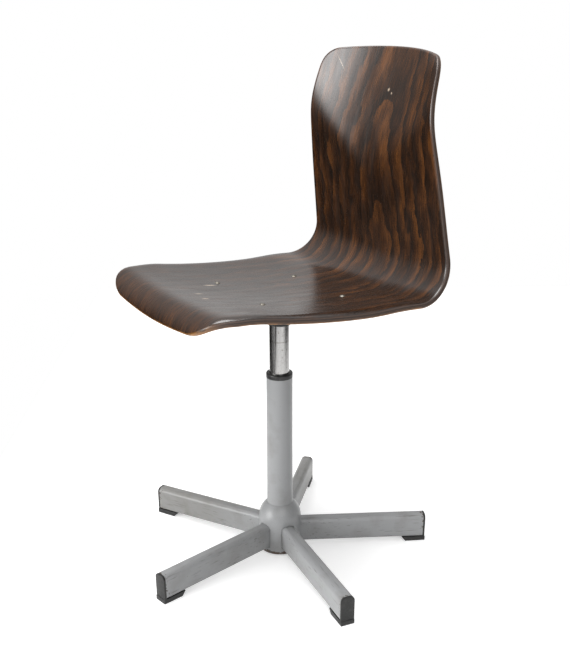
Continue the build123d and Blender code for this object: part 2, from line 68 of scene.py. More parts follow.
bl_info = {
    "name": "Swivel Chair",
    "version": (1, 0, 0),
    "blender": (4, 5, 0),
    "location": "3D View > Sidebar > Chair",
    "description": "Models and finishes a swivel chair with a pressed plywood shell",
    "category": "Object",
}

# The record says which finish each CAD node takes
slot_nodes = {}
for entry in frame["record"]["subparts"]:
    slot_nodes.setdefault(entry["material_slot"], []).append(entry["node"])


def linear(hex_colour):
    """Linear colour of an sRGB hex value."""
    channels = [int(hex_colour[place:place + 2], 16) / 255 for place in (1, 3, 5)]
    return tuple(c / 12.92 if c <= 0.04045 else ((c + 0.055) / 1.055) ** 2.4 for c in channels)


def size_of(name, description, metres):
    """A length that the user can change."""
    return FloatProperty(
        name=name, description=description, default=metres, precision=4, unit="LENGTH"
    )


def slope_of(name, description, degrees):
    """An angle that the user can change."""
    radians = math.radians(degrees)
    return FloatProperty(name=name, description=description, default=radians, unit="ROTATION")


def amount_of(name, description, value, unit="NONE"):
    """A strength, power or focal length that the user can change."""
    return FloatProperty(name=name, description=description, default=value, min=0, unit=unit)


def count_of(name, description, value, least):
    """A number of faces that the user can change."""
    return IntProperty(name=name, description=description, default=value, min=least)


def vector_of(name, description, value, subtype):
    """A place or a direction that the user can change."""
    return FloatVectorProperty(
        name=name, description=description, default=value, size=len(value), subtype=subtype
    )


def colour_of(name, description, hex_colour):
    """A colour that the user can change."""
    return FloatVectorProperty(
        name=name, description=description, default=linear(hex_colour),
        size=3, min=0, max=1, subtype="COLOR",
    )


class ChairShellSizes(bpy.types.PropertyGroup):
    """Sizes of the pressed plywood shell and its bolts."""

    thickness: size_of("Thickness", "Thickness of the pressed sheet", 0.011)
    edge_round: size_of("Edge round", "Radius of the rounded edge all round the sheet", 0.0042)
    seat_height: size_of("Seat height", "Height of the seat on the column's axis", 0.525)
    seat_front: size_of("Seat front", "Distance from the column's axis to the front lip", 0.2605)
    lip_slope: slope_of("Lip slope", "Slope of the sheet at the front lip", 76.2)
    lip_length: size_of("Lip length", "Straight part of the front lip", 0.0048)
    roll_radius: size_of("Roll radius", "Radius of the front roll", 0.0423)
    seat_front_slope: slope_of("Seat front slope", "Slope of the seat behind the roll", -12.4)
    seat_rear_slope: slope_of("Seat rear slope", "Slope of the seat in front of the bend", 1.6)
    seat_length: size_of("Seat length", "Length of the seat between roll and bend", 0.367)
    bend_radius: size_of("Bend radius", "Radius of the bend between seat and back", 0.0665)
    back_slope: slope_of("Back slope", "Slope of the lower back", 97.8)
    back_length: size_of("Back length", "Straight part of the lower back", 0.112)
    crease_radius: size_of("Crease radius", "Radius of the turn below the dished top", 0.23)
    top_slope: slope_of("Top slope", "Slope of the dished top", 70.6)
    top_length: size_of("Top length", "Length of the dished top", 0.1446)
    lip_half_width: size_of("Lip half width", "Half width at the front lip", 0.189)
    front_half_width: size_of("Front half width", "Half width at the front of the seat", 0.198)
    rear_half_width: size_of("Rear half width", "Half width at the rear of the seat", 0.2147)
    bend_half_width: size_of("Bend half width", "Half width above the bend", 0.2027)
    lumbar_half_width: size_of("Lumbar half width", "Half width at the middle of the back", 0.1904)
    top_half_width: size_of("Top half width", "Half width at the top edge", 0.1639)
    front_width_station: size_of(
        "Front width station", "Where the front width holds, behind the roll", 0.02
    )
    lumbar_width_station: size_of(
        "Lumbar width station", "Where the lumbar width holds, over the lower back", 0.04
    )
    seat_dish: size_of("Seat dish", "Rise of the seat towards its sides", 0.0174)
    side_drop: size_of("Side drop", "Fall of the turned-down sides", 0.0069)
    side_roll: size_of("Side roll", "Width of the turned-down sides", 0.022)
    shield_depth: size_of("Shield depth", "Depth of the dish in the top of the back", 0.0445)
    front_crown: size_of("Front crown", "How far the front edge bows out in its middle", 0.0141)
    front_corner: size_of("Front corner", "Radius of the front corners", 0.0794)
    top_corner: size_of("Top corner", "Radius of the top corners", 0.0453)
    top_crown: size_of("Top crown", "Rise of the top edge in its middle", 0.0248)
    dish_fade: size_of("Dish fade", "Length over which the dish fades", 0.06)
    side_fade: size_of("Side fade", "Length over which the turned-down sides fade", 0.12)
    top_straight: size_of("Top straight", "Length of the straight sides below the top edge", 0.06)
    columns: count_of("Columns", "Faces across the sheet", 60, 20)
    corner_rows: count_of("Corner rows", "Rows of faces in a corner", 14, 6)
    row_length: size_of("Row length", "Length of the faces between the corners", 0.0066)
    plate_gap: size_of("Plate gap", "Gap between the shell and the seat plate", 0.0003)
    plate_thickness: size_of("Plate thickness", "Thickness of the seat plate", 0.003)
    bolt_spacing_x: size_of("Bolt spacing across", "Distance between bolts, across the seat", 0.16)
    bolt_spacing_y: size_of("Bolt spacing along", "Distance between bolts, front to rear", 0.17)
    bolt_diameter: size_of("Bolt diameter", "Diameter of the shank", 0.006)
    bolt_head_diameter: size_of("Bolt head diameter", "Diameter of the domed head", 0.0124)
    bolt_head_height: size_of("Bolt head height", "Height of the domed head", 0.0032)
    bolt_sunk: size_of("Bolt sunk", "How far the head is let into the seat", 0.001)
    bolt_below_plate: size_of("Bolt below plate", "Length of the shank below the seat plate", 0.007)


class ChairColours(bpy.types.PropertyGroup):
    """Colours of the chair's finishes."""

    veneer_dark: colour_of("Veneer dark", "Darkest stained veneer", "#0f0803")
    veneer_brown: colour_of("Veneer brown", "Main stained veneer", "#1d0f06")
    veneer_warm: colour_of("Veneer warm", "Warm flames of the veneer", "#361e0b")
    veneer_light: colour_of("Veneer light", "Lightest flames of the veneer", "#523013")
    ply_dark: colour_of("Ply edge dark", "Dark plies in the edge", "#291c16")
    ply_light: colour_of("Ply edge light", "Light plies in the edge", "#463226")
    bare_wood: colour_of("Bare wood", "Wood where the edge is worn through", "#c48a4c")
    scratched: colour_of("Scratched", "Lacquer where it is scratched and chipped", "#c2ae98")
    enamel: colour_of("Enamel", "Grey paint", "#929394")
    # This darker grey also gives the painted shade on the two legs of the sitter's right
    enamel_grime_and_shade: colour_of("Enamel grime", "Grey paint where it is dirty", "#6d6b66")
    chipped_steel: colour_of("Chipped steel", "Steel where the paint is chipped", "#47403a")
    rust: colour_of("Rust", "Rust on steel", "#453325")
    chrome: colour_of("Chrome", "Bright plated steel", "#a3a2a1")
    zinc: colour_of("Zinc", "Zinc plated small parts", "#c9c6bd")
    zinc_dull: colour_of("Zinc dull", "Zinc plating gone dull", "#6e6a62")
    black_enamel: colour_of("Black enamel", "Black painted steel", "#1d1d1e")
    black_dusty: colour_of("Black dusty", "Black paint with dust on it", "#34332f")
    foot_plastic: colour_of("Foot plastic", "Charcoal plastic of the feet", "#141413")
    foot_worn: colour_of("Foot worn", "Scuffed plastic of the feet", "#2d2b29")
    bush_plastic: colour_of("Bush plastic", "Black plastic of the bush and grip", "#19191a")
    bush_worn: colour_of("Bush worn", "Rubbed plastic of the bush and grip", "#33332f")
    spring_steel: colour_of("Spring steel", "Dull steel inside the gas spring", "#8b8b88")
    oil_film: colour_of("Oil film", "Oil on steel inside the column", "#5d574a")
    bearing_steel: colour_of("Bearing steel", "Polished bearing steel", "#b4b5b6")
    cage_plastic: colour_of("Cage plastic", "Plastic of the bearing cage", "#d8cfb4")
    pad_rubber: colour_of("Pad rubber", "Black rubber of the pads", "#171717")
    pad_chalk: colour_of("Pad chalk", "Rubber of the pads gone chalky", "#2c2b29")


class ChairStageSizes(bpy.types.PropertyGroup):
    """The studio round the chair."""

    camera_place: vector_of(
        "Camera place", "Where the camera stands", (1.47464, -0.93151, 1.0459), "TRANSLATION"
    )
    camera_aim: vector_of(
        "Camera aim", "The point that the camera looks at", (0.0, 0.0, 0.47445), "TRANSLATION"
    )
    camera_roll: slope_of("Camera roll", "Turn of the camera round its own axis", -0.24)
    lens: amount_of("Lens", "Focal length in millimetres", 55.34, "CAMERA")
    shift: vector_of("Shift", "Shift of the lens", (0.00895, -0.00889), "NONE")
    paper_left: size_of("Paper left", "How far the paper reaches to the left of the chair", 0.66)
    paper_right: size_of("Paper right", "How far the paper reaches to the right of the chair", 1.15)
    paper_length: size_of("Paper length", "Length of the paper, towards the camera", 3.6)
    floor_colour: colour_of("Floor", "Pale floor", "#ececec")
    floor_burn: amount_of("Floor burn", "How far the floor is burnt out", 0.42)
    sky_light: amount_of("Sky light", "Light from all round", 0.9)
    backdrop_way: vector_of(
        "Backdrop way", "Where the backdrop stands, from the chair", (-0.6, 0.79, 0.1), "DIRECTION"
    )
    backdrop_light: amount_of("Backdrop light", "Light of the backdrop", 0.55)
    key_way: vector_of(
        "Key way", "Where the key light stands, from the chair", (-0.08, -0.97, 0.21), "DIRECTION"
    )
    key_light: amount_of("Key light", "Light in the middle of the key light", 10.5)
    top_power: amount_of("Top power", "Power of the overhead softbox", 43, "POWER")
    fill_power: amount_of("Fill power", "Power of the fill softbox", 8, "POWER")


def ease(share):
    """A smooth rise from nought to one."""
    share = min(max(share, 0.0), 1.0)
    return share * share * (3 - 2 * share)


class ShellForm:
    """The pressed sheet as a surface: a place across and along it becomes a place in the room."""

    # How sharply the dish in the top of the back turns out of the lower back
    shield_sharpness = 4

    # How often a search halves its span, and the length that counts as nothing
    halvings = 50
    tiny = 1e-6

    def __init__(self, sizes):
        self.sizes = sizes
        lip, front, rear = sizes.lip_slope, sizes.seat_front_slope, sizes.seat_rear_slope
        back, top = sizes.back_slope, sizes.top_slope

        # Each run of the centre line: its length, and its slope at either end
        self.runs = [
            (sizes.lip_length, lip, lip),
            (sizes.roll_radius * (lip - front), lip, front),
            (sizes.seat_length, front, rear),
            (sizes.bend_radius * (back - rear), rear, back),
            (sizes.back_length, back, back),
            (sizes.crease_radius * (back - top), back, top),
            (sizes.top_length, top, top),
        ]
        ends = [sum(run[0] for run in self.runs[:count + 1]) for count in range(len(self.runs))]
        self.lip_end, self.roll_end, self.seat_end, self.bend_end, self.back_end, _, self.end = ends
        self.stations = [
            (0.0, sizes.lip_half_width),
            (self.roll_end + sizes.front_width_station, sizes.front_half_width),
            (self.seat_end, sizes.rear_half_width),
            (self.bend_end, sizes.bend_half_width),
            (self.back_end + sizes.lumbar_width_station, sizes.lumbar_half_width),
            (self.end, sizes.top_half_width),
        ]
        self.lip_height = 0.0
        self.on_axis = self.where(
            lambda along: self.centre_line(along)[0], self.roll_end, self.seat_end
        )
        self.lip_height = sizes.seat_height - self.centre_line(self.on_axis)[1]

    def where(self, measure, low, high):
        """Where a rising measure passes zero."""
        for _ in range(self.halvings):
            middle = (low + high) / 2
            if measure(middle) < 0:
                low = middle
            else:
                high = middle
        return low

    def centre_line(self, along):
        """Y, height and slope at a distance along the centre line, straight on past both ends."""
        y, z, start = -self.sizes.seat_front, self.lip_height, 0.0
        for length, first, last in self.runs:
            part = along - start
            if start + length < self.end - self.tiny:
                part = min(part, length)
            turn = (last - first) / length
            half = turn * part / 2
            chord = part * math.sin(half) / half if half else part
            y += chord * math.cos(first + half)
            z += chord * math.sin(first + half)
            start += length
            if along <= start:
                break
        return y, z, first + turn * part

    def half_width(self, along):
        """Half width of the sheet before its corners are rounded."""
        last = len(self.stations) - 1

        def lean(index):
            before, after = self.stations[max(index - 1, 0)], self.stations[min(index + 1, last)]
            return (after[1] - before[1]) / (after[0] - before[0])

        index = 0
        while index < last - 1 and along > self.stations[index + 1][0]:
            index += 1
        (start, width), (end, next_width) = self.stations[index], self.stations[index + 1]
        span = end - start
        t = (along - start) / span
        ends = width * (1 + 2 * t) * (1 - t) ** 2 + next_width * t * t * (3 - 2 * t)
        return ends + span * t * (1 - t) * (lean(index) * (1 - t) - lean(index + 1) * t)

    def pressed_height(self, x, along):
        """Height of the sitter's side over the centre line: seat dish, turned sides, back shield."""
        sizes = self.sizes
        width = self.half_width(along)
        share = (x / width) ** 2
        fade = self.bend_end - self.seat_end + sizes.dish_fade
        in_seat = ease((along - self.lip_end) / (self.roll_end + sizes.dish_fade - self.lip_end))
        in_seat *= 1 - ease((along - self.seat_end + sizes.dish_fade) / fade)
        at_side = 1 - ease((along - self.seat_end + sizes.side_fade) / fade)
        into_roll = max(abs(x) - width + sizes.side_roll, 0.0) / sizes.side_roll
        height = sizes.seat_dish * share * in_seat - sizes.side_drop * into_roll ** 2 * at_side
        if along > self.back_end and x:
            # The lower back carried straight up, until the dished top takes over
            y, z, slope = self.centre_line(along)
            y_end, z_end, slope_end = self.centre_line(self.back_end)
            behind = (y - y_end) * math.sin(slope_end) + (z_end - z) * math.cos(slope_end)
            carried = behind / math.cos(slope - slope_end)
            dished = sizes.shield_depth * share
            power = self.shield_sharpness
            height += carried * dished / (carried ** power + dished ** power) ** (1 / power)
        return height

    def place(self, x, along, depth):
        """Place in the room of a point across, along and down into the sheet."""
        y, z, slope = self.centre_line(along)
        height = self.pressed_height(x, along) - depth
        return Vector((x, y - math.sin(slope) * height, z + math.cos(slope) * height))

    def past_front(self, along):
        """How far a place on the centre line lies behind the lip, and how fast that grows."""
        sizes = self.sizes
        start_y, start_z, _ = self.centre_line(0)
        y, z, slope = self.centre_line(along)
        middle = (sizes.lip_slope + sizes.seat_front_slope) / 2
        past = (y - start_y) * math.cos(middle) + (z - start_z) * math.sin(middle)
        return past, math.cos(slope - middle)

    def behind_front(self, past):
        """The place on the centre line that lies this far behind the lip."""

        def too_far(along):
            return self.past_front(along)[0] - past

        return self.where(too_far, -self.sizes.front_crown, self.seat_end)

    def front_way(self, x, along, bow):
        """Which way the bowed front edge faces."""
        past, growth = self.past_front(along)
        return Vector((x, (past - bow) * growth)).normalized()

    def front_side(self):
        """The right-hand outline round the front corner, and the radius of the bowed front edge."""
        sizes = self.sizes
        half, corner = sizes.front_half_width, sizes.front_corner
        bow = (half ** 2 + sizes.front_crown ** 2) / (2 * sizes.front_crown)
        in_from_side = half - corner
        in_from_front = bow - math.sqrt((bow - corner) ** 2 - in_from_side ** 2)
        centre = Vector((in_from_side, in_from_front))
        first = math.atan2(centre.y - bow, centre.x)
        outline = []
        for row in range(sizes.corner_rows + 1):
            angle = first * (1 - row / sizes.corner_rows)
            along = self.behind_front(centre.y + corner * math.sin(angle))
            across = centre.x + corner * math.cos(angle)
            outline.append(Vector((min(across, self.half_width(along)), along)))
        return outline, bow

    def top_side(self):
        """The right-hand outline round the top corner, and centre and radius of the crowned edge."""
        sizes = self.sizes
        corner = sizes.top_corner
        crown = (sizes.top_half_width ** 2 + sizes.top_crown ** 2) / (2 * sizes.top_crown)
        crown_centre = Vector((0, self.end - crown))
        straight_from = self.end - sizes.top_straight
        low = Vector((self.half_width(straight_from), straight_from))
        high = Vector((sizes.top_half_width, self.end - sizes.top_crown))
        side = (high - low).normalized()
        outward = Vector((side.y, -side.x))

        # The corner's centre lies a corner radius inside both the straight side and the top edge
        def centre_at(travel):
            return low + side * travel - outward * corner

        def too_far(travel):
            return (centre_at(travel) - crown_centre).length - (crown - corner)

        centre = centre_at(self.where(too_far, -sizes.top_straight, 2 * sizes.top_straight))
        to_crown = centre - crown_centre
        first = math.atan2(outward.y, outward.x)
        last = math.atan2(to_crown.y, to_crown.x)
        outline = []
        for row in range(sizes.corner_rows + 1):
            angle = first + (last - first) * row / sizes.corner_rows
            outline.append(centre + corner * Vector((math.cos(angle), math.sin(angle))))
        return outline, crown_centre, crown


def pick(piece):
    """Make a piece the only one that operators act on."""
    if bpy.context.object and bpy.context.object.mode != "OBJECT":
        bpy.ops.object.mode_set(mode="OBJECT")
    bpy.ops.object.select_all(action="DESELECT")
    if piece:
        piece.select_set(True)
        bpy.context.view_layer.objects.active = piece


def edit_all():
    """Open the active piece in edit mode, with all of it selected."""
    bpy.ops.object.mode_set(mode="EDIT")
    bpy.ops.mesh.select_all(action="SELECT")


def pick_parts(piece, kind, wanted):
    """In edit mode, select just the faces or edges that a test wants."""
    bpy.ops.mesh.select_mode(type="FACE" if kind == "faces" else "EDGE")
    bpy.ops.mesh.select_all(action="DESELECT")
    mesh = bmesh.from_edit_mesh(piece.data)
    for part in getattr(mesh, kind):
        part.select_set(bool(wanted(part)))
    mesh.select_flush_mode()
    bmesh.update_edit_mesh(piece.data)


def turn_outwards(piece):
    """Point all faces of a piece outwards."""
    pick(piece)
    edit_all()
    bpy.ops.mesh.normals_make_consistent(inside=False)
    bpy.ops.object.mode_set(mode="OBJECT")


def settle(piece, name, material, body, nodes):
    """Name a finished piece, give it its finish, and let it stand for its CAD nodes."""
    piece.name = name
    piece.data.name = name
    piece.data.materials.clear()
    piece.data.materials.append(material)
    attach(piece, body)
    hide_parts(*nodes)


def dress(material, nodes):
    """Give CAD nodes their finish."""
    for node in nodes:
        slots = frame["nodes"][node].material_slots
        if not slots:
            raise RuntimeError(f"{node} has no material slot")
        for each in slots:
            each.material = material


# Points nearer than this are one point
weld_distance = 0.00001

# Faces that turn less than this are one flat face
flat_angle = math.radians(0.3)

# Edges that turn more than this are eased
eased_angle = math.radians(40)

# Faces that turn less than this are shaded as one curve
curve_angle = math.radians(35)


def ease_edges(nodes, material, width):
    """Replace CAD nodes by copies with their triangles merged and their sharp edges eased."""
    for node in nodes:
        source = frame["nodes"][node]
        piece = bpy.data.objects.new(node, source.data.copy())
        bpy.context.scene.collection.objects.link(piece)
        pick(piece)
        bpy.ops.mesh.customdata_custom_splitnormals_clear()
        edit_all()
        bpy.ops.mesh.remove_doubles(threshold=weld_distance)
        bpy.ops.mesh.dissolve_limited(angle_limit=flat_angle)
        bpy.ops.object.mode_set(mode="OBJECT")
        bevel = piece.modifiers.new("eased", "BEVEL")
        bevel.width = width
        bevel.segments = 2
        bevel.limit_method = "ANGLE"
        bevel.angle_limit = eased_angle
        bpy.ops.object.modifier_apply(modifier=bevel.name)
        edit_all()
        bpy.ops.mesh.dissolve_degenerate(threshold=weld_distance)
        bpy.ops.object.mode_set(mode="OBJECT")
        bpy.ops.object.shade_smooth_by_angle(angle=curve_angle)
        settle(piece, node + "_eased", material, body_of(source)[0], [node])


def set_inputs(node, inputs):
    """Give a node's inputs values, or links from sockets and from the first output of other nodes."""
    for key, value in inputs.items():
        socket = node.inputs[key]
        if isinstance(value, bpy.types.Node):
            value = value.outputs[0]
        if isinstance(value, bpy.types.NodeSocket):
            node.id_data.links.new(value, socket)
        elif socket.type == "RGBA":
            socket.default_value = (*value, 1.0)
        else:
            socket.default_value = value


def add_node(tree, kind, inputs=None, stops=None, **settings):
    """Add a shader node with its settings, its ramp stops, and its inputs as values or links."""
    node = tree.nodes.new("ShaderNode" + kind)
    for key, value in settings.items():
        setattr(node, key, value)
    set_inputs(node, inputs or {})
    if stops:
        ramp = node.color_ramp.elements
        while len(ramp) < len(stops):
            ramp.new(1.0)
        for element, (place, colour) in zip(ramp, stops):
            element.position = place
            element.color = (*colour, 1.0)
    return node


def start_finish(name):
    """A new material with its node tree and shader."""
    material = bpy.data.materials.new(name)
    material.use_nodes = True
    return material, material.node_tree, material.node_tree.nodes["Principled BSDF"]


def per_metre(*millimetres):
    """Scale of a noise whose features have this size, or these sizes, in millimetres."""
    scales = tuple(1000 / size for size in millimetres)
    return scales if len(scales) > 1 else scales[0]


def band_scale(millimetres):
    """Scale of a wave whose bands repeat at this distance in millimetres."""
    return math.pi / 10 * 1000 / millimetres


def grey(level):
    """A linear grey."""
    return (level, level, level)


black = grey(0.0)
white = grey(1.0)

# Marks in the lacquer of the sitter's side: place across and along the sheet, half width, half
# length, turn in degrees
wear_marks = [
    (-0.065, 0.173, 0.003, 0.012, 0),
    (-0.008, 0.119, 0.002, 0.008, 0),
    (0.029, 0.113, 0.003, 0.007, 0),
    (0.006, 0.833, 0.003, 0.003, 0),
    (0.017, 0.827, 0.0018, 0.0024, 20),
    (-0.128, 0.869, 0.0007, 0.016, 41),
]


def stained_beech_plywood(colours, sizes):
    """Beech veneer, stained dark, pressed and lacquered: flames along the sheet under a worn gloss."""
    material, tree, shader = start_finish("stained_beech_plywood")
    sheet = add_node(tree, "Attribute", attribute_name="sheet").outputs["Vector"]
    _, along, depth = add_node(tree, "SeparateXYZ", {"Vector": sheet}).outputs

    # Growth rings cut at a shallow angle: nested flames about 30 mm apart, whose borders wander by
    # up to 50 mm across the sheet and are feathered by up to 10 mm
    wander_place = add_node(tree, "Mapping", {"Vector": sheet, "Scale": per_metre(34, 85, 40)})
    wander = add_node(tree, "TexNoise", {"Vector": wander_place, "Scale": 1.0, "Detail": 2.0})
    feather_place = add_node(tree, "Mapping", {"Vector": sheet, "Scale": per_metre(2, 16, 4)})
    feather = add_node(tree, "TexNoise", {"Vector": feather_place, "Scale": 1.0, "Detail": 2.0})
    wandered = add_node(
        tree, "VectorMath", {0: wander.outputs["Color"], 1: (0.05, 0.0, 0.0), 2: sheet},
        operation="MULTIPLY_ADD",
    )
    feathered = add_node(
        tree, "VectorMath", {0: feather.outputs["Color"], 1: (0.01, 0.0, 0.0), 2: wandered},
        operation="MULTIPLY_ADD",
    )
    heart_across, heart_along, tilt = 0.045, 0.44, 0.16
    rings_place = add_node(
        tree, "Mapping",
        {
            "Vector": feathered,
            "Location": (-heart_across, -heart_along * tilt, 0.0),
            "Scale": (1.0, tilt, 0.0),
        },
    )
    rings = add_node(
        tree, "TexWave", {"Vector": rings_place, "Scale": band_scale(30), "Distortion": 0.0},
        wave_type="RINGS", rings_direction="Z", wave_profile="SAW",
    )
    ring_share = add_node(
        tree, "MapRange", {"Value": rings.outputs["Fac"], "From Min": 0.1, "From Max": 0.8}
    )

    # Stain takes unevenly in patches a hand long, the flames fade into plain grain towards the
    # front, and fibres show as streaks, drawn 2 mm wide so that they show
    patch_place = add_node(tree, "Mapping", {"Vector": sheet, "Scale": per_metre(40, 130, 40)})
    patches = add_node(tree, "TexNoise", {"Vector": patch_place, "Scale": 1.0, "Detail": 2.0})
    patch_share = add_node(
        tree, "MapRange",
        {"Value": patches, "From Min": 0.35, "From Max": 0.65, "To Min": 0.1, "To Max": 0.42},
    )
    fibre_place = add_node(tree, "Mapping", {"Vector": sheet, "Scale": per_metre(2, 32, 2)})
    fibres = add_node(
        tree, "TexNoise", {"Vector": fibre_place, "Scale": 1.0, "Detail": 4.0, "Roughness": 0.65}
    )
    on_back = add_node(
        tree, "MapRange",
        {"Value": along, "From Min": 0.2, "From Max": 0.5, "To Min": 0.3, "To Max": 1.0},
    )
    flame_share = add_node(tree, "Math", {0: patch_share, 1: on_back}, operation="MULTIPLY")
    flames = add_node(tree, "Math", {0: ring_share, 1: flame_share}, operation="MULTIPLY")
    figure = add_node(tree, "Math", {0: fibres, 1: 1.05, 2: flames}, operation="MULTIPLY_ADD")

    # The front roll is rubbed lighter by legs
    rolled = add_node(
        tree, "MapRange", {"Value": along, "From Min": 0.09, "From Max": 0.03, "To Max": 0.12}
    )
    rubbed_figure = add_node(tree, "Math", {0: figure, 1: rolled}, operation="ADD")
    veneer = add_node(
        tree, "ValToRGB", {"Fac": rubbed_figure},
        stops=[
            (0.38, colours.veneer_dark),
            (0.55, colours.veneer_brown),
            (0.76, colours.veneer_warm),
            (0.96, colours.veneer_light),
        ],
    )

    # The edge shows its plies through the stain, and bare wood where it is worn through
    depth_share = add_node(tree, "Math", {0: depth, 1: sizes.thickness}, operation="DIVIDE")
    on_edge = add_node(
        tree, "ValToRGB", {"Fac": depth_share},
        stops=[(0.06, black), (0.16, white), (0.84, white), (0.95, black)],
    )
    plies = add_node(
        tree, "TexWave", {"Vector": sheet, "Scale": band_scale(3.1), "Distortion": 0.4},
        wave_type="BANDS", bands_direction="Z",
    )
    ply_colour = add_node(
        tree, "ValToRGB", {"Fac": plies.outputs["Fac"]},
        stops=[(0.3, colours.ply_dark), (0.75, colours.ply_light)],
    )
    with_edge = add_node(tree, "Mix", {0: on_edge, 6: veneer, 7: ply_colour}, data_type="RGBA")
    arris = add_node(tree, "Attribute", attribute_name="wear").outputs["Fac"]
    rub_place = add_node(tree, "Mapping", {"Vector": sheet, "Scale": per_metre(22, 22, 6)})
    rubbed = add_node(tree, "TexNoise", {"Vector": rub_place, "Scale": 1.0, "Detail": 3.0})
    rub_share = add_node(tree, "MapRange", {"Value": rubbed, "From Min": 0.3, "From Max": 0.52})
    worn = add_node(tree, "Math", {0: arris, 1: rub_share}, operation="MULTIPLY")
    with_wear = add_node(
        tree, "Mix", {0: worn, 6: with_edge.outputs[2], 7: colours.bare_wood}, data_type="RGBA"
    )

    # Scratches and chips: soft ellipses that stay in the upper third of the sheet
    scratches = 0.0
    for mark_x, mark_along, half_width, half_length, turn in wear_marks:
        spot = add_node(
            tree, "Mapping",
            {
                "Vector": sheet,
                "Location": (mark_x, mark_along, 0.0),
                "Rotation": (0.0, 0.0, math.radians(turn)),
                "Scale": (half_width, half_length, sizes.thickness / 3),
            },
            vector_type="TEXTURE",
        )
        off = add_node(tree, "VectorMath", {0: spot}, operation="LENGTH")
        marked = add_node(
            tree, "MapRange",
            {"Value": off.outputs["Value"], "From Min": 1.3, "From Max": 0.4, "To Max": 0.5},
        )
        scratches = add_node(tree, "Math", {0: scratches, 1: marked}, operation="MAXIMUM")
    finished = add_node(
        tree, "Mix", {0: scratches, 6: with_wear.outputs[2], 7: colours.scratched}, data_type="RGBA"
    )

    # Lacquer dulled by years of sitting, in smears along the grain. The sawn edge has soaked up its
    # lacquer and is duller than the faces
    smear_place = add_node(tree, "Mapping", {"Vector": sheet, "Scale": per_metre(14, 90, 14)})
    smears = add_node(tree, "TexNoise", {"Vector": smear_place, "Scale": 1.0, "Detail": 4.0})
    gloss = add_node(
        tree, "MapRange",
        {"Value": smears, "From Min": 0.3, "From Max": 0.7, "To Min": 0.2, "To Max": 0.32},
    )
    dullness = add_node(tree, "Mix", {0: on_edge, 2: gloss, 3: 0.65})
    ripple = add_node(tree, "Bump", {"Strength": 0.08, "Distance": 0.0004, "Height": fibres})
    set_inputs(
        shader,
        {
            "Base Color": finished.outputs[2],
            "Roughness": dullness,
            "Specular IOR Level": 0.8,
            "Normal": ripple,
        },
    )
    return material


